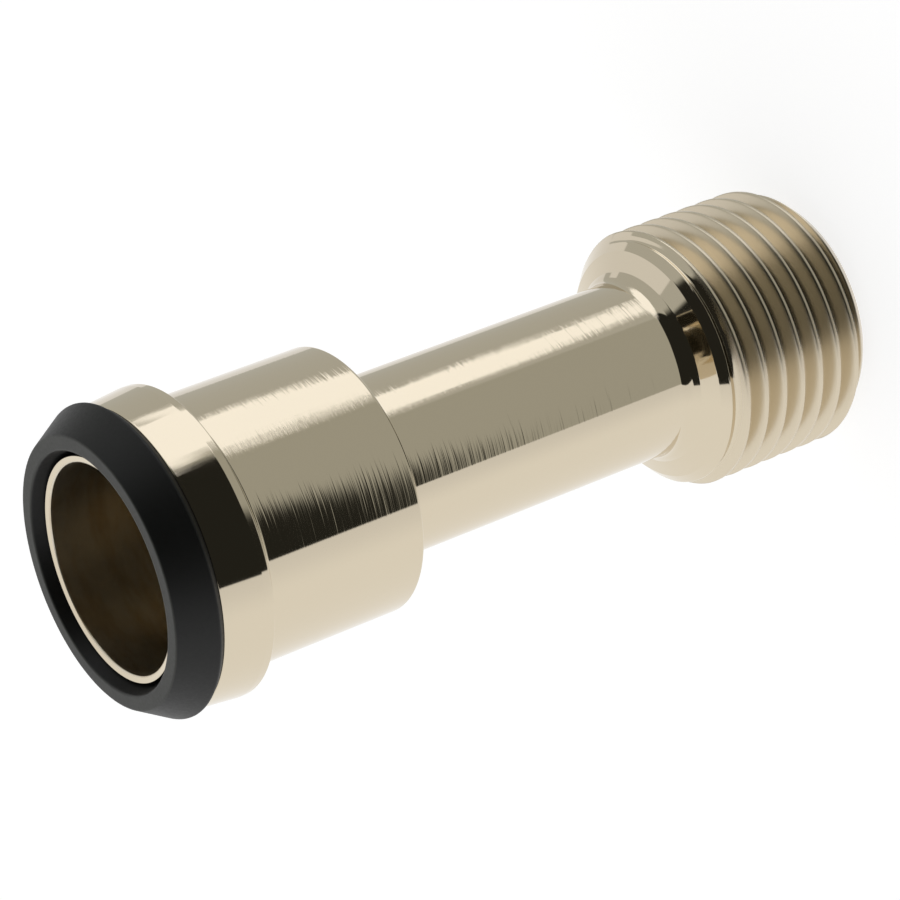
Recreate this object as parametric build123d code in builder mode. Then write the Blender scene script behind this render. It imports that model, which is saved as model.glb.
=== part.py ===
"""Radiator valve tail with a rubber cone seal.

The part stands on the end face of its thread. The axis is +Z, the origin is the centre of that
end face, and the seal is at the top. All sizes are in millimetres.
"""

import os
from math import ceil, radians, tan

from build123d import *

os.makedirs("parts", exist_ok=True)

# Threaded hub
THREAD_MAJOR_DIAMETER = 20.955
THREAD_LENGTH = 13.2
THREAD_PITCH = 1.8143
THREAD_DEPTH = 1.2
THREAD_CREST_WIDTH = 0.3
THREAD_FIRST_CREST = 0.6
RUN_OUT_INSET = 0.56
RUN_OUT_LENGTH = 2.7
CUTTER_MARGIN = 0.1
LEAD_IN_DEPTH = 1.4
LEAD_IN_LENGTH = 1.65
HUB_CHAMFER_DEPTH = 1.28
HUB_CHAMFER_LENGTH = 1.25
HUB_SHOULDER_LENGTH = 0.7
HUB_ROOT_DEPTH = 0.7
HUB_ROOT_LENGTH = 0.75

# Narrow tube
TUBE_BORE_DIAMETER = 11.0
TUBE_WALL = 1.55
TUBE_LENGTH = 27.25
TUBE_BORE_CHAMFER = 0.5

# Wide barrel, its bore, and the collar that the union nut pulls on
MOUTH_BORE_DIAMETER = 16.2
BARREL_WALL = 2.35
BARREL_LENGTH = 13.2
BARREL_FLOOR_THICKNESS = 1.0
BARREL_ROOT_CHAMFER = 0.5
BARREL_RIM_CHAMFER = 0.2
DRILL_POINT_ANGLE = 118.0
COLLAR_HEIGHT = 1.55
COLLAR_SEAT_LENGTH = 0.9
COLLAR_LAND_LENGTH = 0.6
COLLAR_TAPER_LENGTH = 3.4
COLLAR_TAPER_DEPTH = 0.35

# Thin nose inside the seal
NOSE_WALL = 0.55
NOSE_BEVEL_LENGTH = 0.15
NOSE_RECESS = 0.8

# Rubber cone seal
SEAL_FIT_CLEARANCE = 0.02
SEAL_GRIP_LENGTH = 1.35
SEAL_FLARE_DEPTH = 0.65
SEAL_OVERHANG = 0.1
SEAL_CONE_DEPTH = 1.65
SEAL_CONE_LENGTH = 2.7
SEAL_BACK_LENGTH = 0.55
SEAL_BACK_INSET = 0.05
SEAL_EDGE_CHAMFER = 0.1

# Radii that follow from the sizes above
THREAD_RADIUS = THREAD_MAJOR_DIAMETER / 2
THREAD_ROOT_RADIUS = THREAD_RADIUS - THREAD_DEPTH
HUB_RIM_RADIUS = THREAD_RADIUS - HUB_CHAMFER_DEPTH
TUBE_BORE_RADIUS = TUBE_BORE_DIAMETER / 2
TUBE_RADIUS = TUBE_BORE_RADIUS + TUBE_WALL
MOUTH_BORE_RADIUS = MOUTH_BORE_DIAMETER / 2
BARREL_RADIUS = MOUTH_BORE_RADIUS + BARREL_WALL
COLLAR_RADIUS = BARREL_RADIUS + COLLAR_HEIGHT
COLLAR_FRONT_RADIUS = COLLAR_RADIUS - COLLAR_TAPER_DEPTH
NOSE_RADIUS = MOUTH_BORE_RADIUS + NOSE_WALL
SEAL_BORE_RADIUS = NOSE_RADIUS + SEAL_FIT_CLEARANCE
SEAL_FACE_INNER_RADIUS = NOSE_RADIUS + SEAL_FLARE_DEPTH
SEAL_RADIUS = COLLAR_RADIUS + SEAL_OVERHANG
SEAL_FACE_OUTER_RADIUS = SEAL_RADIUS - SEAL_CONE_DEPTH
SEAL_BACK_RADIUS = COLLAR_FRONT_RADIUS - SEAL_BACK_INSET

# Heights above the end face of the thread
GROOVE_START = THREAD_FIRST_CREST - 1.5 * THREAD_PITCH
RUN_OUT_BOTTOM = THREAD_LENGTH - RUN_OUT_INSET
RUN_OUT_TOP = RUN_OUT_BOTTOM + RUN_OUT_LENGTH
HUB_CHAMFER_TOP = THREAD_LENGTH + HUB_CHAMFER_LENGTH
HUB_SHOULDER_TOP = HUB_CHAMFER_TOP + HUB_SHOULDER_LENGTH
TUBE_BOTTOM = HUB_SHOULDER_TOP + HUB_ROOT_LENGTH
BARREL_BOTTOM = TUBE_BOTTOM + TUBE_LENGTH
SEAT_BOTTOM = BARREL_BOTTOM + BARREL_LENGTH
COLLAR_BOTTOM = SEAT_BOTTOM + COLLAR_SEAT_LENGTH
TAPER_BOTTOM = COLLAR_BOTTOM + COLLAR_LAND_LENGTH
COLLAR_TOP = TAPER_BOTTOM + COLLAR_TAPER_LENGTH
SEAL_WIDEST = COLLAR_TOP + SEAL_BACK_LENGTH
SEAL_TOP = SEAL_WIDEST + SEAL_CONE_LENGTH
NOSE_TOP = SEAL_TOP - NOSE_RECESS
DRILL_POINT_LENGTH = (MOUTH_BORE_RADIUS - TUBE_BORE_RADIUS) / tan(radians(DRILL_POINT_ANGLE / 2))
DRILL_POINT_BOTTOM = BARREL_BOTTOM + BARREL_FLOOR_THICKNESS
MOUTH_BOTTOM = DRILL_POINT_BOTTOM + DRILL_POINT_LENGTH


def circles_at(part: BuildPart, height: float) -> ShapeList:
    """Return the round edges of a part at one height, narrowest first."""
    circles = part.edges().filter_by(GeomType.CIRCLE)
    return circles.filter_by_position(Axis.Z, height, height).sort_by(SortBy.RADIUS)


def groove_turn(height: float) -> Solid:
    """Return one turn of the thread's V groove. Its root starts at this height on the +X side."""
    outer_radius = THREAD_RADIUS + CUTTER_MARGIN
    flank_rise = (THREAD_PITCH - THREAD_CREST_WIDTH) / 2
    outer_rise = flank_rise * (THREAD_DEPTH + CUTTER_MARGIN) / THREAD_DEPTH
    root, lower, upper = (
        Edge.make_helix(THREAD_PITCH, THREAD_PITCH, radius, center=(0, 0, height + rise))
        for radius, rise in (
            (THREAD_ROOT_RADIUS, 0),
            (outer_radius, -outer_rise),
            (outer_radius, outer_rise),
        )
    )
    sides = [
        Face.make_surface_from_curves(first, second)
        for first, second in ((root, lower), (lower, upper), (upper, root))
    ]
    ends = [
        Face(Wire.make_polygon([root @ end, lower @ end, upper @ end]))
        for end in (0, 1)
    ]
    return Solid(Shell(sides + ends))


# Space that the thread's cutter reaches. It leaves the hub along the run-out cone.
with BuildPart() as cutter_reach:
    with BuildSketch(Plane.XZ):
        with BuildLine():
            run_out = Line((THREAD_ROOT_RADIUS, RUN_OUT_BOTTOM), (THREAD_RADIUS, RUN_OUT_TOP))
            run_out_margin = (run_out @ 1 - run_out @ 0) * (CUTTER_MARGIN / THREAD_DEPTH)
            inner_end = run_out @ 0 - run_out_margin
            outer_end = run_out @ 1 + run_out_margin * 2
            Polyline(
                run_out @ 0,
                inner_end,
                (inner_end.X, GROOVE_START - THREAD_PITCH),
                (outer_end.X, GROOVE_START - THREAD_PITCH),
                outer_end,
                run_out @ 1,
            )
        make_face()
    revolve(axis=Axis.Z)

# Thread groove, turn by turn
groove_turns = []
for turn in range(ceil((RUN_OUT_TOP - GROOVE_START) / THREAD_PITCH)):
    with BuildPart() as groove:
        add(groove_turn(GROOVE_START + turn * THREAD_PITCH))
        add(cutter_reach.part, mode=Mode.INTERSECT)
    groove_turns.append(groove.part)

# Turned body, one piece from the nose to the thread
with BuildPart() as tail_body:
    with BuildSketch(Plane.XZ):
        with BuildLine():
            Polyline(
                (0, 0),
                (0, NOSE_TOP),
                (NOSE_RADIUS, NOSE_TOP),
                (NOSE_RADIUS, COLLAR_TOP),
                (COLLAR_FRONT_RADIUS, COLLAR_TOP),
                (COLLAR_RADIUS, TAPER_BOTTOM),
                (COLLAR_RADIUS, COLLAR_BOTTOM),
                (BARREL_RADIUS, SEAT_BOTTOM),
                (BARREL_RADIUS, BARREL_BOTTOM),
                (TUBE_RADIUS, BARREL_BOTTOM),
                (TUBE_RADIUS, TUBE_BOTTOM),
                (TUBE_RADIUS + HUB_ROOT_DEPTH, HUB_SHOULDER_TOP),
                (HUB_RIM_RADIUS, HUB_CHAMFER_TOP),
                (THREAD_RADIUS, THREAD_LENGTH),
                (THREAD_RADIUS, LEAD_IN_LENGTH),
                (THREAD_RADIUS - LEAD_IN_DEPTH, 0),
                (0, 0),
            )
        make_face()
    revolve(axis=Axis.Z)
    chamfer(circles_at(tail_body, BARREL_BOTTOM)[0], length=BARREL_ROOT_CHAMFER)
    chamfer(circles_at(tail_body, BARREL_BOTTOM)[-1], length=BARREL_RIM_CHAMFER)
    add(groove_turns, mode=Mode.SUBTRACT)

    with BuildSketch(Plane.XZ):
        with BuildLine():
            Polyline(
                (0, 0),
                (TUBE_BORE_RADIUS + TUBE_BORE_CHAMFER, 0),
                (TUBE_BORE_RADIUS, TUBE_BORE_CHAMFER),
                (TUBE_BORE_RADIUS, DRILL_POINT_BOTTOM),
                (MOUTH_BORE_RADIUS, MOUTH_BOTTOM),
                (MOUTH_BORE_RADIUS, NOSE_TOP - NOSE_BEVEL_LENGTH),
                (NOSE_RADIUS, NOSE_TOP),
                (0, NOSE_TOP),
                (0, 0),
            )
        make_face()
    revolve(axis=Axis.Z, mode=Mode.SUBTRACT)

tail_body.part.label = "tail_body"
export_step(tail_body.part, "parts/tail_body.step")

# Cone seal, pushed over the nose against the front of the collar
with BuildPart() as seal_ring:
    with BuildSketch(Plane.XZ):
        with BuildLine():
            Polyline(
                (SEAL_BORE_RADIUS, COLLAR_TOP),
                (SEAL_BACK_RADIUS, COLLAR_TOP),
                (SEAL_RADIUS, SEAL_WIDEST),
                (SEAL_FACE_OUTER_RADIUS, SEAL_TOP),
                (SEAL_FACE_INNER_RADIUS, SEAL_TOP),
                (SEAL_BORE_RADIUS, COLLAR_TOP + SEAL_GRIP_LENGTH),
                (SEAL_BORE_RADIUS, COLLAR_TOP),
            )
        make_face()
    revolve(axis=Axis.Z)
    chamfer(circles_at(seal_ring, SEAL_WIDEST)[-1], length=SEAL_EDGE_CHAMFER)

seal_ring.part.label = "seal_ring"
export_step(seal_ring.part, "parts/seal_ring.step")
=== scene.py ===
"""Looks of a radiator valve tail: turned, threaded and nickel plated, with a black rubber cone seal.

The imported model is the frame. The part stands on the end face of its thread, with its axis on +Z and
the seal at the top. Sizes in the classes are millimetres, as on a drawing, and heights are measured
from that end face. They become metres where a mesh is made.
"""

import logging
import math
from dataclasses import dataclass, field
from enum import Enum
from typing import Any, Dict, List, Optional, Sequence, Tuple, Union

import bmesh
import bpy
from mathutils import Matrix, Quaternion, Vector

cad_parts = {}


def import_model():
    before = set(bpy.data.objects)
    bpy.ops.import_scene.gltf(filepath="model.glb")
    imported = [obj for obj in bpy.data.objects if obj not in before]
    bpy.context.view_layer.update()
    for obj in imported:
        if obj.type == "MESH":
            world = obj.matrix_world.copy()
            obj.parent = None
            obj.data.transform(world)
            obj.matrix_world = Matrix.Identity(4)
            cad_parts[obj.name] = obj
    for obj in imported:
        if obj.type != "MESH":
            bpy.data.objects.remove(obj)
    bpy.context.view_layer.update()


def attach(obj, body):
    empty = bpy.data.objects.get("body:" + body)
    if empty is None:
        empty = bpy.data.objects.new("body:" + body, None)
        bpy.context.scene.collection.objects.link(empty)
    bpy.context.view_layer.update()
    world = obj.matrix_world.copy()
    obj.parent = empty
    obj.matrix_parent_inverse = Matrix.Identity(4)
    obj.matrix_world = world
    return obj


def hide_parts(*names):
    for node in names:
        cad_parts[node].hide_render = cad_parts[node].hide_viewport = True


MM = 0.001
FULL_TURN = 2 * math.pi
BODY = "root"

log = logging.getLogger("valve_tail")

Colour = Tuple[float, float, float]
Number = Union[float, int, "Scalar"]


class Slot(Enum):
    """Material slots of the record."""

    NICKEL = "nickel_plate"
    RUBBER = "seal_rubber"


class Path(Enum):
    """How the rows of an outline run round a turned piece."""

    ROUND = 0.0
    HELIX = 1.0


def linear(red: int, green: int, blue: int) -> Colour:
    """Turn a screen colour into scene-linear values.

    Args:
        red: Red from 0 to 255.
        green: Green from 0 to 255.
        blue: Blue from 0 to 255.

    Returns:
        The colour as three linear values from 0 to 1.
    """

    def channel(value: int) -> float:
        """Return one linear channel."""
        share = value / 255
        return share / 12.92 if share <= 0.04045 else ((share + 0.055) / 1.055) ** 2.4

    return channel(red), channel(green), channel(blue)


class Scalar:
    """A number socket of a node tree, on which Python's operators add Math nodes."""

    def __init__(self, graph: "NodeGraph", socket: bpy.types.NodeSocket) -> None:
        """Keep the graph and the socket."""
        self.graph = graph
        self.socket = socket

    def _math(self, operation: str, *values: Number) -> "Scalar":
        """Add one Math node.

        Args:
            operation: The node's operation.
            values: Its inputs, in order.

        Returns:
            The node's result.
        """
        node = self.graph.node("ShaderNodeMath", {"operation": operation}, dict(enumerate(values)))
        return Scalar(self.graph, node.outputs[0])

    def __add__(self, other: Number) -> "Scalar":
        """Return self + other."""
        return self._math("ADD", self, other)

    def __radd__(self, other: Number) -> "Scalar":
        """Return other + self."""
        return self._math("ADD", other, self)

    def __sub__(self, other: Number) -> "Scalar":
        """Return self - other."""
        return self._math("SUBTRACT", self, other)

    def __rsub__(self, other: Number) -> "Scalar":
        """Return other - self."""
        return self._math("SUBTRACT", other, self)

    def __mul__(self, other: Number) -> "Scalar":
        """Return self * other."""
        return self._math("MULTIPLY", self, other)

    def __rmul__(self, other: Number) -> "Scalar":
        """Return other * self."""
        return self._math("MULTIPLY", other, self)

    def __truediv__(self, other: Number) -> "Scalar":
        """Return self / other."""
        return self._math("DIVIDE", self, other)

    def __rtruediv__(self, other: Number) -> "Scalar":
        """Return other / self."""
        return self._math("DIVIDE", other, self)

    def __pow__(self, other: Number) -> "Scalar":
        """Return self ** other."""
        return self._math("POWER", self, other)

    def __neg__(self) -> "Scalar":
        """Return -self."""
        return self._math("MULTIPLY", self, -1.0)

    def __abs__(self) -> "Scalar":
        """Return the value without its sign."""
        return self._math("ABSOLUTE", self)

    def floor(self) -> "Scalar":
        """Return the whole number below."""
        return self._math("FLOOR", self)

    def fraction(self) -> "Scalar":
        """Return the part above the whole number below."""
        return self._math("FRACT", self)

    def sine(self) -> "Scalar":
        """Return the sine of an angle in radians."""
        return self._math("SINE", self)

    def cosine(self) -> "Scalar":
        """Return the cosine of an angle in radians."""
        return self._math("COSINE", self)

    def root(self) -> "Scalar":
        """Return the square root."""
        return self._math("SQRT", self)

    def arcsine(self) -> "Scalar":
        """Return the angle with this sine, in radians."""
        return self._math("ARCSINE", self)

    def angle_from(self, other: Number) -> "Scalar":
        """Return the angle whose tangent is self / other, from -pi to pi."""
        return self._math("ARCTAN2", self, other)

    def at_most(self, other: Number) -> "Scalar":
        """Return the smaller of two values."""
        return self._math("MINIMUM", self, other)

    def at_least(self, other: Number) -> "Scalar":
        """Return the larger of two values."""
        return self._math("MAXIMUM", self, other)

    def at_least_rounded(self, other: Number, width: Number) -> "Scalar":
        """Return the larger of two values, rounded where they are closer than a width."""
        return self._math("SMOOTH_MAX", self, other, width)

    def ramp(self, start: float, end: float) -> "Scalar":
        """Rise from 0 to 1 with eased ends, or fall where start is above end.

        Args:
            start: Value at which the result is 0.
            end: Value at which the result is 1.

        Returns:
            A value from 0 to 1.
        """
        settings = {"interpolation_type": "SMOOTHSTEP", "clamp": True}
        inputs = {"Value": self, "From Min": start, "From Max": end, "To Min": 0.0, "To Max": 1.0}
        node = self.graph.node("ShaderNodeMapRange", settings, inputs)
        return Scalar(self.graph, node.outputs["Result"])

    def within(self, low: float, high: float, soft: float) -> "Scalar":
        """Return 1 between two values and 0 outside them, with soft edges."""
        return self.ramp(low - soft, low + soft) * self.ramp(high + soft, high - soft)


class NodeGraph:
    """A node tree with one method that adds any node."""

    def __init__(self, tree: bpy.types.NodeTree) -> None:
        """Keep the tree."""
        self.tree = tree

    def node(
        self,
        kind: str,
        settings: Optional[Dict[str, Any]] = None,
        inputs: Optional[Dict[Union[str, int], Any]] = None,
    ) -> bpy.types.Node:
        """Add a node, set its options, then fill or link its inputs.

        Args:
            kind: The node's type, such as ShaderNodeMath.
            settings: Options of the node, which are set first.
            inputs: Values, sockets or scalars, by the input's name or number.

        Returns:
            The new node.
        """
        node = self.tree.nodes.new(kind)
        for option, value in (settings or {}).items():
            setattr(node, option, value)
        for key, value in (inputs or {}).items():
            socket = node.inputs[key]
            source = value.socket if isinstance(value, Scalar) else value
            if isinstance(source, bpy.types.NodeSocket):
                self.tree.links.new(source, socket)
            else:
                socket.default_value = source
        return node

    def scalar(self, node: bpy.types.Node, output: Union[str, int] = 0) -> Scalar:
        """Return one output of a node as a number."""
        return Scalar(self, node.outputs[output])

    def split(self, vector: bpy.types.NodeSocket) -> Tuple[Scalar, Scalar, Scalar]:
        """Return the three parts of a vector."""
        node = self.node("ShaderNodeSeparateXYZ", inputs={"Vector": vector})
        return self.scalar(node, 0), self.scalar(node, 1), self.scalar(node, 2)

    def vector(self, x: Number, y: Number, z: Number) -> bpy.types.NodeSocket:
        """Return a vector from three numbers."""
        return self.node("ShaderNodeCombineXYZ", inputs={"X": x, "Y": y, "Z": z}).outputs[0]

    def dot(self, vector: bpy.types.NodeSocket, direction: Sequence[float]) -> Scalar:
        """Return how far a vector points along a fixed direction."""
        inputs = {0: vector, 1: tuple(direction)}
        node = self.node("ShaderNodeVectorMath", {"operation": "DOT_PRODUCT"}, inputs)
        return self.scalar(node, "Value")

    def mix(self, share: Number, first: Any, second: Any) -> bpy.types.NodeSocket:
        """Blend two colours.

        Args:
            share: How much of the second colour shows, from 0 to 1.
            first: The first colour, as a value or a socket.
            second: The second colour.

        Returns:
            The blended colour's socket.
        """
        colours = [c if isinstance(c, bpy.types.NodeSocket) else (*c, 1.0) for c in (first, second)]
        inputs = {0: share, 6: colours[0], 7: colours[1]}
        node = self.node("ShaderNodeMix", {"data_type": "RGBA", "clamp_factor": True}, inputs)
        return node.outputs[2]

    def noise(self, vector: bpy.types.NodeSocket, scale: float, detail: float, rough: float) -> Scalar:
        """Return smooth noise around 0.5.

        Args:
            vector: Where the noise is read.
            scale: Waves per unit of the vector.
            detail: Number of finer layers.
            rough: Strength of each finer layer.

        Returns:
            The noise value.
        """
        inputs = {"Vector": vector, "Scale": scale, "Detail": detail, "Roughness": rough}
        node = self.node("ShaderNodeTexNoise", {"noise_dimensions": "3D"}, inputs)
        return self.scalar(node, 0)


@dataclass(frozen=True)
class Corner:
    """A corner of a turned outline, with the radius that its edge is rounded to."""

    radius: float
    height: float
    edge: float = 0.0


@dataclass(frozen=True)
class Row:
    """One row of points round a turned piece."""

    radius: float
    height: float
    path: Path = Path.ROUND


class Outline:
    """Rows of a turned piece, made from the corners of its section."""

    ARC_STEPS = 4
    GUARD = 0.06
    EDGE_SHARE = 0.45

    def __init__(self) -> None:
        """Start with no rows."""
        self.rows: List[Row] = []

    def follow(self, corners: Sequence[Corner]) -> "Outline":
        """Add straight runs and rounded edges.

        Args:
            corners: The section's corners in order. The first and last stay sharp.

        Returns:
            The outline itself.
        """
        points = [Vector((c.radius, c.height)) for c in corners]
        run: List[Vector] = [points[0]]
        for index in range(1, len(points) - 1):
            run += self._edge(points[index - 1], points[index], points[index + 1], corners[index].edge)
        run.append(points[-1])
        self.rows += [Row(p.x, p.y) for p in self._guarded(run)]
        return self

    def wind(self, bottom: float, top: float, pitch: float, rows_per_turn: int) -> "Outline":
        """Add rows that climb one pitch in a turn, enough to reach from bottom to top all round.

        Args:
            bottom: Height at which the thread starts.
            top: Height at which it ends.
            pitch: Climb of one turn.
            rows_per_turn: Number of rows in one pitch.

        Returns:
            The outline itself.
        """
        step = pitch / rows_per_turn
        count = math.ceil((top - bottom + pitch) / step)
        self.rows += [Row(0.0, bottom - pitch + step * k, Path.HELIX) for k in range(count + 1)]
        return self

    def _edge(self, before: Vector, corner: Vector, after: Vector, radius: float) -> List[Vector]:
        """Return the points of one corner, as an arc where it has a radius."""
        if radius <= 0:
            return [corner]
        back = (before - corner).normalized()
        ahead = (after - corner).normalized()
        half = back.angle(ahead) / 2
        room = self.EDGE_SHARE * min((before - corner).length, (after - corner).length)
        tangent = min(radius / math.tan(half), room)
        centre = corner + (back + ahead).normalized() * (tangent / math.cos(half))
        start = corner + back * tangent - centre
        sweep = start.angle_signed(corner + ahead * tangent - centre)
        steps = self.ARC_STEPS
        turns = [sweep * k / steps for k in range(steps + 1)]
        return [
            centre + Vector((start.x * math.cos(a) + start.y * math.sin(a),
                             start.y * math.cos(a) - start.x * math.sin(a)))
            for a in turns
        ]

    def _guarded(self, run: Sequence[Vector]) -> List[Vector]:
        """Add a point close to each end of a long straight stretch, so that its shading stays flat."""
        result = [run[0]]
        for first, second in zip(run, run[1:]):
            length = (second - first).length
            if length > 4 * self.GUARD:
                ahead = (second - first) * (self.GUARD / length)
                result += [first + ahead, second - ahead]
            result.append(second)
        return result

    def mesh(self, name: str) -> bpy.types.Mesh:
        """Return the outline as a chain of edges in metres, with each point's path as an attribute."""
        mesh = bpy.data.meshes.new(name)
        points = [(row.radius * MM, 0.0, row.height * MM) for row in self.rows]
        mesh.from_pydata(points, [(k, k + 1) for k in range(len(points) - 1)], [])
        path = mesh.attributes.new("path", "FLOAT", "POINT")
        path.data.foreach_set("value", [row.path.value for row in self.rows])
        return mesh


@dataclass(frozen=True)
class PipeThread:
    """A right-hand 1/2 inch parallel pipe thread, cut by a die that runs out on the hub's chamfer."""

    major_radius: float = 10.4775
    threads_per_inch: float = 14.0
    depth: float = 1.16
    crest_at_front: float = 11.03
    crest_share: float = 0.075
    root_share: float = 0.43
    root_rounding: float = 0.3
    length: float = 13.2
    lead_in_depth: float = 1.4
    lead_in_length: float = 1.65
    chamfer_depth: float = 1.2775
    chamfer_length: float = 1.25
    run_out_start: float = 12.64
    run_out_slope: float = 0.43
    rows_per_turn: int = 30

    @property
    def pitch(self) -> float:
        """Climb of one turn."""
        return 25.4 / self.threads_per_inch

    @property
    def top(self) -> float:
        """Height of the chamfer's narrow end."""
        return self.length + self.chamfer_length

    @property
    def crest_at_seam(self) -> float:
        """Height of a crest on the +X side, a quarter turn on from the front."""
        return self.crest_at_front + self.pitch / 4

    @property
    def rim_radius(self) -> float:
        """Radius of the chamfer's narrow end."""
        return self.major_radius - self.chamfer_depth


class Lathe:
    """Geometry Nodes that spin an outline into a closed piece, and cut its thread."""

    SEAM_GAP = 0.002

    def __init__(self, columns: int, thread: Optional[PipeThread] = None) -> None:
        """Keep the number of columns and the thread, if the piece has one."""
        self.columns = columns
        self.thread = thread

    def _inputs(self) -> Dict[str, float]:
        """Return the named sizes that the tree takes, in metres where they are lengths."""
        sizes = {"Columns": self.columns, "Seam Gap": self.SEAM_GAP * MM}
        if self.thread:
            cut = self.thread
            sizes.update({
                "Pitch": cut.pitch * MM,
                "Thread Top": cut.top * MM,
                "Major Radius": cut.major_radius * MM,
                "Thread Depth": cut.depth * MM,
                "Root Rounding": cut.root_rounding * MM,
                "Crest Height": cut.crest_at_seam * MM,
                "Lead-in Depth": cut.lead_in_depth * MM,
                "Lead-in Length": cut.lead_in_length * MM,
                "Chamfer Depth": cut.chamfer_depth * MM,
                "Chamfer Length": cut.chamfer_length * MM,
                "Run-out Start": cut.run_out_start * MM,
                "Run-out Slope": cut.run_out_slope,
            })
        return sizes

    def _cut(self, graph: NodeGraph, size: Dict[str, Scalar], height: Scalar, turn: Scalar) -> Scalar:
        """Return the radius of the threaded part.

        Args:
            graph: The tree that is built.
            size: The tree's named inputs.
            height: Height of the point.
            turn: Share of a full turn from +X.

        Returns:
            The point's radius.
        """
        major = size["Major Radius"]
        start_cone = major - size["Lead-in Depth"] * (1 - height / size["Lead-in Length"])
        rise = (size["Thread Top"] - height) / size["Chamfer Length"]
        hub_cone = major - size["Chamfer Depth"] * (1 - rise)
        blank = major.at_most(start_cone).at_most(hub_cone)
        phase = (height - size["Crest Height"]) / size["Pitch"] - turn
        from_crest = abs((phase + 0.5).fraction() - 0.5)
        flank_share = self.thread.root_share - self.thread.crest_share
        flank = (from_crest - self.thread.crest_share).at_least(0.0) / flank_share
        groove = major - size["Thread Depth"] * flank
        run_out = (height - size["Run-out Start"]).at_least(0.0) * size["Run-out Slope"]
        floor = major - size["Thread Depth"] + run_out
        return blank.at_most(groove.at_least_rounded(floor, size["Root Rounding"]))

    def tree(self, name: str) -> Tuple[bpy.types.NodeTree, Dict[str, str]]:
        """Build the tree.

        Args:
            name: The tree's name.

        Returns:
            The tree, and the identifier of each named input.
        """
        tree = bpy.data.node_groups.new(name, "GeometryNodeTree")
        graph = NodeGraph(tree)
        face = tree.interface
        face.new_socket(name="Geometry", in_out="INPUT", socket_type="NodeSocketGeometry")
        identifiers = {}
        for label in self._inputs():
            kind = "NodeSocketInt" if label == "Columns" else "NodeSocketFloat"
            identifiers[label] = face.new_socket(name=label, in_out="INPUT", socket_type=kind).identifier
        material = face.new_socket(name="Material", in_out="INPUT", socket_type="NodeSocketMaterial")
        identifiers["Material"] = material.identifier
        face.new_socket(name="Geometry", in_out="OUTPUT", socket_type="NodeSocketGeometry")

        given = graph.node("NodeGroupInput")
        size = {label: graph.scalar(given, label) for label in self._inputs()}
        outline = given.outputs["Geometry"]
        count = graph.node("GeometryNodeAttributeDomainSize", {"component": "MESH"}, {"Geometry": outline})
        rows = graph.scalar(count, "Point Count")
        grid = graph.node(
            "GeometryNodeMeshGrid", inputs={"Vertices X": size["Columns"] + 1, "Vertices Y": rows})
        index = graph.scalar(graph.node("GeometryNodeInputIndex"))
        column = ((index + 0.5) / rows).floor()
        row = index - column * rows
        turn = column / size["Columns"]

        spot = graph.node("GeometryNodeInputPosition").outputs[0]
        sample = graph.node(
            "GeometryNodeSampleIndex", {"data_type": "FLOAT_VECTOR", "domain": "POINT"},
            {"Geometry": outline, "Value": spot, "Index": row})
        radius, _, height = graph.split(sample.outputs[0])
        if self.thread:
            named = graph.node("GeometryNodeInputNamedAttribute", {"data_type": "FLOAT"}, {"Name": "path"})
            path = graph.scalar(graph.node(
                "GeometryNodeSampleIndex", {"data_type": "FLOAT", "domain": "POINT"},
                {"Geometry": outline, "Value": named.outputs[0], "Index": row}))
            climbed = (height + size["Pitch"] * turn).at_least(0.0).at_most(size["Thread Top"])
            height = height + (climbed - height) * path
            radius = radius + (self._cut(graph, size, height, turn) - radius) * path
        angle = turn * FULL_TURN
        place = graph.vector(radius * angle.cosine(), radius * angle.sine(), height)
        moved = graph.node(
            "GeometryNodeSetPosition", inputs={"Geometry": grid.outputs["Mesh"], "Position": place})
        closed = graph.node(
            "GeometryNodeMergeByDistance",
            inputs={"Geometry": moved.outputs[0], "Distance": size["Seam Gap"]})
        smooth = graph.node("GeometryNodeSetShadeSmooth", inputs={0: closed.outputs[0]})
        real = graph.node("GeometryNodeRealizeInstances", inputs={0: smooth.outputs[0]})
        dressed = graph.node(
            "GeometryNodeSetMaterial",
            inputs={"Geometry": real.outputs[0], "Material": given.outputs["Material"]})
        graph.node("NodeGroupOutput", inputs={0: dressed.outputs[0]})
        return tree, identifiers

    def spin(self, outline: Outline, name: str, material: bpy.types.Material) -> bpy.types.Object:
        """Make the finished piece.

        Args:
            outline: The rows of the piece.
            name: Name of the new object.
            material: Its finish.

        Returns:
            An object with a plain mesh and no modifier.
        """
        work = bpy.data.objects.new(name + "_outline", outline.mesh(name + "_outline"))
        bpy.context.scene.collection.objects.link(work)
        modifier = work.modifiers.new("lathe", "NODES")
        tree, identifiers = self.tree(name + "_lathe")
        modifier.node_group = tree
        for label, value in self._inputs().items():
            modifier[identifiers[label]] = value
        modifier[identifiers["Material"]] = material
        depsgraph = bpy.context.evaluated_depsgraph_get()
        mesh = bpy.data.meshes.new_from_object(work.evaluated_get(depsgraph), depsgraph=depsgraph)
        mesh.name = name
        bpy.data.objects.remove(work)
        self._face_outwards(mesh)
        mesh.materials.clear()
        mesh.materials.append(material)
        piece = bpy.data.objects.new(name, mesh)
        bpy.context.scene.collection.objects.link(piece)
        return piece

    @staticmethod
    def _face_outwards(mesh: bpy.types.Mesh) -> None:
        """Drop faces with no area, then point every face outwards."""
        shell = bmesh.new()
        shell.from_mesh(mesh)
        bmesh.ops.dissolve_degenerate(shell, dist=1e-8, edges=shell.edges[:])
        bmesh.ops.recalc_face_normals(shell, faces=shell.faces[:])
        if shell.calc_volume(signed=True) < 0:
            bmesh.ops.reverse_faces(shell, faces=shell.faces[:])
        open_edges = sum(1 for edge in shell.edges if len(edge.link_faces) != 2)
        log.info("%s: %d faces, %d open edges", mesh.name, len(shell.faces), open_edges)
        shell.to_mesh(mesh)
        shell.free()


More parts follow.
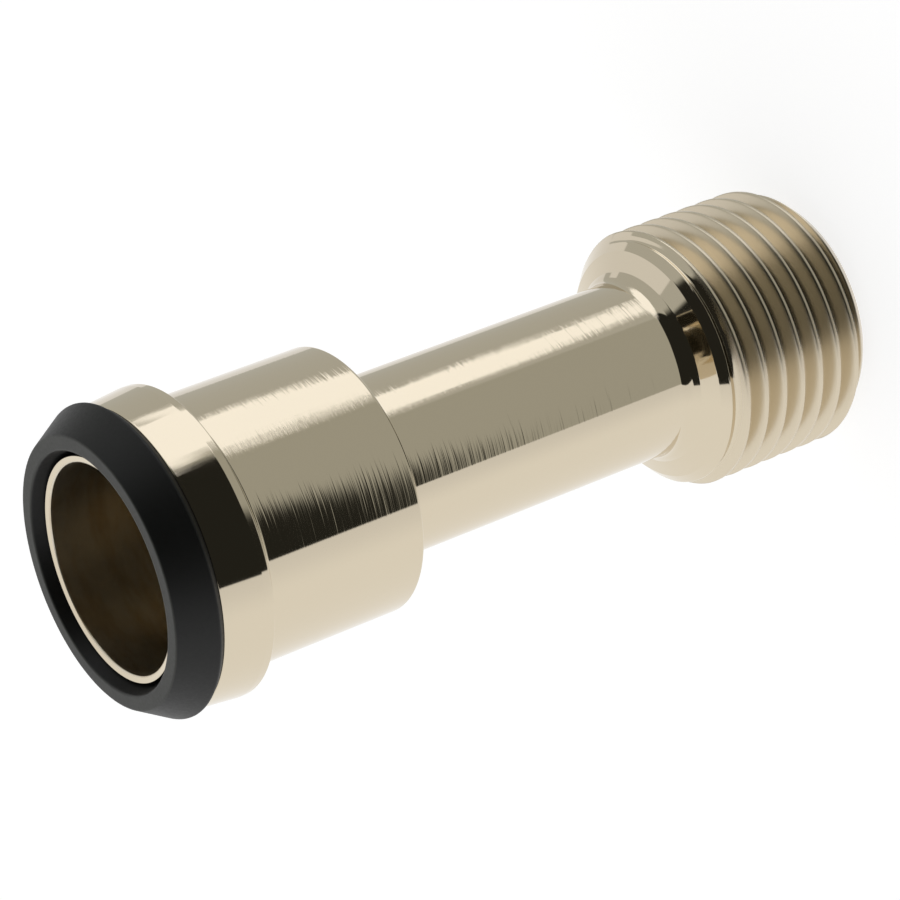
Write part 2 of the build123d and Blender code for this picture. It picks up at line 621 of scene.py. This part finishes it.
@dataclass(frozen=True)
class PlatedNickel:
    """Bright nickel over turned brass: lathe marks on the tube and the barrel, thin plate in the bore."""

    plate: Colour = linear(215, 203, 180)
    thin_plate: Colour = linear(214, 206, 188)
    worn_plate: Colour = linear(200, 184, 156)
    gloss: float = 0.05
    thread_gloss: float = 0.28
    bore_gloss: float = 0.28
    coarse_length: float = 12.0
    coarse_pitch: float = 0.26
    coarse_depth: float = 0.003
    coarse_spike: float = 6.0
    coarse_even: float = 0.6
    fine_length: float = 4.0
    fine_pitch: float = 0.11
    fine_depth: float = 0.00015
    bore_marks: float = 0.5
    cloud_width: float = 6.0
    cloud_height: float = 2.0
    thread_top: float = 13.4
    thread_root: float = 9.0
    tube_bottom: float = 16.4
    seat_bottom: float = 56.2
    bore_bottom: float = 43.6
    tube_bore_radius: float = 6.2
    bore_radius: float = 8.2
    fade: float = 0.4
    lip_fade: float = 0.05

    def make(self) -> bpy.types.Material:
        """Return the material."""
        material = bpy.data.materials.new("bright_nickel")
        material.use_nodes = True
        graph = NodeGraph(material.node_tree)
        material.node_tree.nodes.clear()
        place = graph.node("ShaderNodeTexCoord").outputs["Object"]
        x, y, z = (part / MM for part in graph.split(place))
        radius = (x * x + y * y).root()

        fade, half_fade = self.fade, self.fade / 2
        in_mouth = radius.ramp(self.bore_radius + self.lip_fade, self.bore_radius)
        in_mouth = in_mouth * z.ramp(self.bore_bottom, self.bore_bottom + fade)
        in_tube = radius.ramp(self.tube_bore_radius + half_fade, self.tube_bore_radius)
        inside = in_mouth.at_least(in_tube)
        turned = z.within(self.tube_bottom, self.seat_bottom, half_fade) * (1 - inside)
        threaded = z.ramp(self.thread_top, self.thread_top - fade)
        threaded = threaded * radius.ramp(self.thread_root, self.thread_root + fade)

        height = self._marks(graph, x, y, z) * (turned + self.bore_marks * inside) * MM
        bump = graph.node("ShaderNodeBump", inputs={"Strength": 1.0, "Distance": 1.0, "Height": height})
        spot = graph.vector(x / self.cloud_width, y / self.cloud_width, z / self.cloud_height)
        cloud = graph.noise(spot, 1.0, 3.0, 0.6)
        bore_plate = graph.mix(cloud.ramp(0.35, 0.7), self.thin_plate, self.worn_plate)
        shader = graph.node("ShaderNodeBsdfPrincipled", inputs={
            "Base Color": graph.mix(inside, self.plate, bore_plate),
            "Metallic": 1.0,
            "Roughness": self.gloss + inside * (self.bore_gloss - self.gloss)
            + threaded * (self.thread_gloss - self.gloss),
            "Normal": bump.outputs[0],
        })
        graph.node("ShaderNodeOutputMaterial", inputs={"Surface": shader.outputs[0]})
        return material

    def _marks(self, graph: NodeGraph, x: Scalar, y: Scalar, z: Scalar) -> Scalar:
        """Return the depth of the rings that the turning tool left.

        Args:
            graph: The material's tree.
            x: Place across the axis, in millimetres.
            y: Place across the axis, in millimetres.
            z: Height, in millimetres.

        Returns:
            Depth in millimetres, around 0.
        """
        long_way = graph.vector(x / self.coarse_length, y / self.coarse_length, z / self.coarse_pitch)
        short_way = graph.vector(x / self.fine_length, y / self.fine_length, z / self.fine_pitch)
        coarse = graph.noise(long_way, 1.0, 2.0, 0.7) - 0.5
        fine = graph.noise(short_way, 1.0, 2.0, 0.6) - 0.5
        deep = coarse * (abs(coarse) * self.coarse_spike + self.coarse_even)
        return deep * self.coarse_depth + fine * self.fine_depth


@dataclass(frozen=True)
class MouldedRubber:
    """Black moulded rubber: shiny cone, and a flat face with painted sheen that varies in clouds."""

    black: Colour = linear(13, 14, 12)
    # Painted sheen: a lighter grey for the flat face, in place of light falling on it.
    painted_face_sheen: Colour = linear(58, 59, 54)
    # Painted shade: a slightly darker black for the inner flare and the bore of the ring.
    painted_shade_inner: Colour = linear(12, 12, 11)
    shine: float = 0.38
    matt: float = 0.5
    grain: float = 0.25
    grain_depth: float = 0.004
    grain_gloss: float = 0.2
    # Painted sheen: how much of the lighter grey the face gets, how it varies in clouds, and the heights
    # where it starts and is full.
    painted_sheen_share: float = 0.75
    painted_sheen_waves: float = 0.35
    painted_sheen_start: float = 64.38
    painted_sheen_full: float = 64.48
    face_inner_radius: float = 9.3
    painted_shade_fade: float = 0.1

    def make(self) -> bpy.types.Material:
        """Return the material."""
        material = bpy.data.materials.new("moulded_rubber")
        material.use_nodes = True
        graph = NodeGraph(material.node_tree)
        material.node_tree.nodes.clear()
        place = graph.node("ShaderNodeTexCoord").outputs["Object"]
        x, y, z = (part / MM for part in graph.split(place))
        radius = (x * x + y * y).root()
        spot = graph.vector(x, y, z)
        grain = graph.noise(spot, 1 / self.grain, 3.0, 0.6)
        cloud = graph.noise(spot, self.painted_sheen_waves, 2.0, 0.5)
        height = (grain - 0.5) * (self.grain_depth * MM)
        bump = graph.node("ShaderNodeBump", inputs={"Strength": 1.0, "Distance": 1.0, "Height": height})
        # Painted sheen: the flat face at the top is mixed towards the lighter grey, more or less in
        # clouds.
        face = z.ramp(self.painted_sheen_start, self.painted_sheen_full)
        # Painted shade: inside the face's inner edge the ring gets the slightly darker black.
        painted_shade_flare = radius.ramp(self.face_inner_radius, self.face_inner_radius - self.painted_shade_fade)
        side = graph.mix(painted_shade_flare, self.black, self.painted_shade_inner)
        shader = graph.node("ShaderNodeBsdfPrincipled", inputs={
            "Base Color": graph.mix(face * (self.painted_sheen_share + (cloud - 0.5)), side, self.painted_face_sheen),
            "Specular IOR Level": self.shine,
            "Roughness": self.matt + (grain - 0.5) * self.grain_gloss,
            "Normal": bump.outputs[0],
        })
        graph.node("ShaderNodeOutputMaterial", inputs={"Surface": shader.outputs[0]})
        return material


@dataclass
class TailBody:
    """The turned tail: nose, collar, barrel, tube and threaded hub, in one piece."""

    columns: int = 192
    thread: PipeThread = field(default_factory=PipeThread)
    tube_radius: float = 7.05
    tube_bore_radius: float = 5.5
    tube_bore_chamfer: float = 0.5
    hub_shoulder_length: float = 0.7
    hub_root_depth: float = 0.7
    hub_root_length: float = 0.75
    barrel_radius: float = 10.45
    barrel_bottom: float = 43.15
    barrel_root: float = 0.5
    collar_radius: float = 12.0
    seat_bottom: float = 56.35
    collar_bottom: float = 57.25
    taper_bottom: float = 57.85
    collar_top: float = 61.25
    taper_depth: float = 0.35
    nose_radius: float = 8.65
    nose_top: float = 63.7
    nose_bevel: float = 0.15
    mouth_radius: float = 8.1
    mouth_bottom: float = 45.712
    drill_point_bottom: float = 44.15
    edge: float = 0.1

    def outline(self) -> Outline:
        """Return the section, from the bore's foot round the outside and back down the bore."""
        hub_top = self.thread.top + self.hub_shoulder_length
        foot = Corner(self.tube_bore_radius + self.tube_bore_chamfer, 0.0)
        rim = Corner(self.thread.major_radius - self.thread.lead_in_depth, 0.0)
        outside = [
            Corner(self.thread.rim_radius, self.thread.top),
            Corner(self.tube_radius + self.hub_root_depth, hub_top, self.edge / 2),
            Corner(self.tube_radius, hub_top + self.hub_root_length, 1.4),
            Corner(self.tube_radius, self.barrel_bottom - self.barrel_root, self.edge),
            Corner(self.tube_radius + self.barrel_root, self.barrel_bottom, self.edge),
            Corner(self.barrel_radius, self.barrel_bottom, 2 * self.edge),
            Corner(self.barrel_radius, self.seat_bottom, self.edge),
            Corner(self.collar_radius, self.collar_bottom, self.edge),
            Corner(self.collar_radius, self.taper_bottom, self.edge),
            Corner(self.collar_radius - self.taper_depth, self.collar_top, self.edge),
            Corner(self.nose_radius, self.collar_top, self.edge),
            Corner(self.nose_radius, self.nose_top, self.edge / 2),
            Corner(self.mouth_radius, self.nose_top - self.nose_bevel, self.edge),
            Corner(self.mouth_radius, self.mouth_bottom, self.edge),
            Corner(self.tube_bore_radius, self.drill_point_bottom, self.edge),
            Corner(self.tube_bore_radius, self.tube_bore_chamfer, self.edge),
            foot,
        ]
        outline = Outline().follow([foot, rim])
        outline.wind(0.0, self.thread.top, self.thread.pitch, self.thread.rows_per_turn)
        return outline.follow(outside)

    def build(self, nickel: bpy.types.Material) -> bpy.types.Object:
        """Make the piece and put it in the CAD node's place."""
        piece = Lathe(self.columns, self.thread).spin(self.outline(), "turned_tail", nickel)
        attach(piece, BODY)
        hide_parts("tail_body")
        return piece


@dataclass
class SealRing:
    """The rubber cone ring on the nose."""

    columns: int = 192
    bore_radius: float = 8.67
    back_radius: float = 11.6
    back_height: float = 61.25
    widest_radius: float = 12.08
    widest_height: float = 61.8
    face_outer_radius: float = 10.45
    face_inner_radius: float = 9.3
    face_height: float = 64.5
    grip_top: float = 62.6
    edge: float = 0.2

    def outline(self) -> Outline:
        """Return the ring's closed section."""
        start = Corner(self.bore_radius, (self.back_height + self.grip_top) / 2)
        return Outline().follow([
            start,
            Corner(self.bore_radius, self.back_height, self.edge / 4),
            Corner(self.back_radius, self.back_height, self.edge / 2),
            Corner(self.widest_radius, self.widest_height, self.edge),
            Corner(self.face_outer_radius, self.face_height, self.edge),
            Corner(self.face_inner_radius, self.face_height, self.edge),
            Corner(self.bore_radius, self.grip_top, self.edge),
            start,
        ])

    def build(self, rubber: bpy.types.Material) -> bpy.types.Object:
        """Make the piece and put it in the CAD node's place."""
        piece = Lathe(self.columns).spin(self.outline(), "rubber_seal", rubber)
        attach(piece, BODY)
        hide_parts("seal_ring")
        return piece


@dataclass(frozen=True)
class Surroundings:
    """What the bright metal mirrors: a white table, pale walls, one lamp and a dark room.

    The photographed part lies on its side, so up in the photograph is a direction across the axis.
    Behind the part the table rises into a backdrop. Past the seal, the room is open and dark. The
    lamp's outline is frayed, so that the turning marks break up the edges of its streak.
    """

    up: Colour = (0.793, -0.609, 0.0)
    side: Colour = (-0.609, -0.793, 0.0)
    wall_direction: Colour = (0.1724, 0.2394, -0.9555)
    wall_reach: float = 0.2227
    wall_end: float = -0.9
    lamp_turn: float = 75.0
    lamp_rise: float = -10.0
    lamp_width: float = 24.5
    lamp_height: float = 24.0
    lamp_corner: float = 2.5
    lamp_fray: float = 1.8
    lamp_fray_pitch: float = 0.01
    lamp_blur: float = 0.06
    back_start: float = 0.03
    back_full: float = -0.01
    open_end: float = 0.71
    open_back: float = -0.3
    backdrop_start: float = -0.42
    backdrop_full: float = -0.5
    backdrop_end: float = 0.15
    backdrop_rise: float = 0.27
    horizon: float = -0.035
    horizon_blur: float = 0.01
    table_near: float = -0.5
    table_drop: float = 0.13
    table: Colour = (1.0, 1.0, 1.0)
    table_far: Colour = (0.86, 0.86, 0.87)
    wall: Colour = (0.46, 0.465, 0.43)
    back_wall: Colour = (0.55, 0.56, 0.54)
    lamp: Colour = (1.36, 1.38, 1.44)
    dark: Colour = (0.021, 0.021, 0.018)
    soft: float = 0.02

    def make(self) -> None:
        """Build the world: white where the camera sees it, these surroundings for everything else."""
        world = bpy.data.worlds.new("studio")
        world.use_nodes = True
        bpy.context.scene.world = world
        graph = NodeGraph(world.node_tree)
        world.node_tree.nodes.clear()
        ray = graph.node("ShaderNodeTexCoord").outputs["Generated"]
        height = graph.dot(ray, self.up)
        front = graph.dot(ray, self.side)
        facing_wall = graph.dot(ray, self.wall_direction)
        across, along, axial = graph.split(ray)

        soft = self.soft
        ahead = axial.ramp(self.open_end - soft, self.open_end + soft)
        ahead = ahead * front.ramp(self.open_back - soft, self.open_back + soft)
        walled = axial.ramp(self.wall_end - soft, self.wall_end + soft)
        behind = front.ramp(self.back_start, self.back_full) * (1 - ahead) * walled
        wall_seen = facing_wall.ramp(self.wall_reach - soft, self.wall_reach + soft) * walled
        walls = graph.mix(behind, self.wall, self.back_wall)
        room = graph.mix(wall_seen.at_least(behind), self.dark, walls)
        room = graph.mix(self._lit(graph, across.angle_from(-along), axial), room, self.lamp)

        backdrop = front.ramp(self.backdrop_start, self.backdrop_full) * axial.ramp(0.0, self.backdrop_end)
        horizon = backdrop * self.backdrop_rise - ahead * self.table_drop + self.horizon
        table = graph.mix(height.ramp(self.horizon, self.table_near), self.table_far, self.table)
        above = (height - horizon).ramp(-self.horizon_blur, self.horizon_blur)
        pattern = graph.mix(above, table, room)

        seen = graph.node("ShaderNodeLightPath").outputs["Is Camera Ray"]
        colour = graph.mix(Scalar(graph, seen), pattern, (1.0, 1.0, 1.0))
        background = graph.node("ShaderNodeBackground", inputs={"Color": colour, "Strength": 1.0})
        graph.node("ShaderNodeOutputWorld", inputs={"Surface": background.outputs[0]})

    def _lit(self, graph: NodeGraph, angle: Scalar, axial: Scalar) -> Scalar:
        """Return where the lamp is.

        Args:
            graph: The world's tree.
            angle: Direction round the part's axis, in radians.
            axial: Share of the direction that lies along the axis.

        Returns:
            1 on the lamp and 0 beside it.
        """
        turn = (angle - math.radians(self.lamp_turn)) / math.radians(self.lamp_width)
        rise = (axial.arcsine() - math.radians(self.lamp_rise)) / math.radians(self.lamp_height)
        spot = graph.vector(axial / self.lamp_fray_pitch, turn, 0.0)
        fray = graph.noise(spot, 1.0, 2.0, 0.6) - 0.5
        aside = (abs(turn) + fray * self.lamp_fray).at_least(0.0)
        reach = aside ** self.lamp_corner + abs(rise) ** self.lamp_corner
        return reach.ramp(1 + self.lamp_blur, 1 - self.lamp_blur)


@dataclass(frozen=True)
class Floor:
    """A plain white floor that keeps a soft shadow."""

    radius: float = 3.0
    shade: float = 0.4
    glow: float = 0.8

    def make(self) -> bpy.types.Object:
        """Make the floor under the part."""
        mesh = bpy.data.meshes.new("floor")
        disc = bmesh.new()
        bmesh.ops.create_circle(disc, cap_ends=True, segments=64, radius=self.radius)
        disc.to_mesh(mesh)
        disc.free()
        floor = bpy.data.objects.new("floor", mesh)
        bpy.context.scene.collection.objects.link(floor)
        floor.visible_glossy = False
        mesh.materials.append(self._paint())
        return floor

    def _paint(self) -> bpy.types.Material:
        """Return white paint that shows white to the camera where no shadow falls."""
        material = bpy.data.materials.new("floor_white")
        material.use_nodes = True
        graph = NodeGraph(material.node_tree)
        material.node_tree.nodes.clear()
        seen = graph.scalar(graph.node("ShaderNodeLightPath"), "Is Camera Ray")
        grey = (self.shade, self.shade, self.shade)
        paint = graph.node("ShaderNodeBsdfDiffuse", inputs={
            "Color": graph.mix(seen, (0.9, 0.9, 0.9), grey)})
        glow = graph.node("ShaderNodeEmission", inputs={"Strength": seen * self.glow})
        both = graph.node("ShaderNodeAddShader", inputs={0: paint.outputs[0], 1: glow.outputs[0]})
        graph.node("ShaderNodeOutputMaterial", inputs={"Surface": both.outputs[0]})
        return material


@dataclass(frozen=True)
class PhotoCamera:
    """The photograph's view: seen from the seal's end, with the axis slanting across the picture."""

    distance: float = 252.73
    height: float = 178.45
    aim: Tuple[float, float, float] = (-0.76, 0.0, 33.67)
    roll_degrees: float = -111.007
    focal_length: float = 154.18
    sensor: float = 36.0

    def make(self) -> bpy.types.Object:
        """Make the camera and use it."""
        data = bpy.data.cameras.new("photo_camera")
        data.lens = self.focal_length
        data.sensor_width = self.sensor
        data.clip_start = 0.01
        data.clip_end = 10.0
        camera = bpy.data.objects.new("photo_camera", data)
        bpy.context.scene.collection.objects.link(camera)
        camera.location = Vector((0.0, -self.distance, self.height)) * MM
        look = Vector(self.aim) * MM - camera.location
        roll = Quaternion((0.0, 0.0, 1.0), math.radians(self.roll_degrees))
        camera.rotation_mode = "QUATERNION"
        camera.rotation_quaternion = look.to_track_quat("-Z", "Y") @ roll
        bpy.context.scene.camera = camera
        return camera


def main() -> None:
    """Load the frame, build the two pieces, and set the stage round them."""
    logging.basicConfig(level=logging.INFO, format="%(name)s: %(message)s")
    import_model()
    bpy.context.scene.view_settings.view_transform = "Standard"
    PhotoCamera().make()
    for piece in (TailBody().build(PlatedNickel().make()), SealRing().build(MouldedRubber().make())):
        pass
    Surroundings().make()
    Floor().make()


if __name__ == "__main__":
    main()
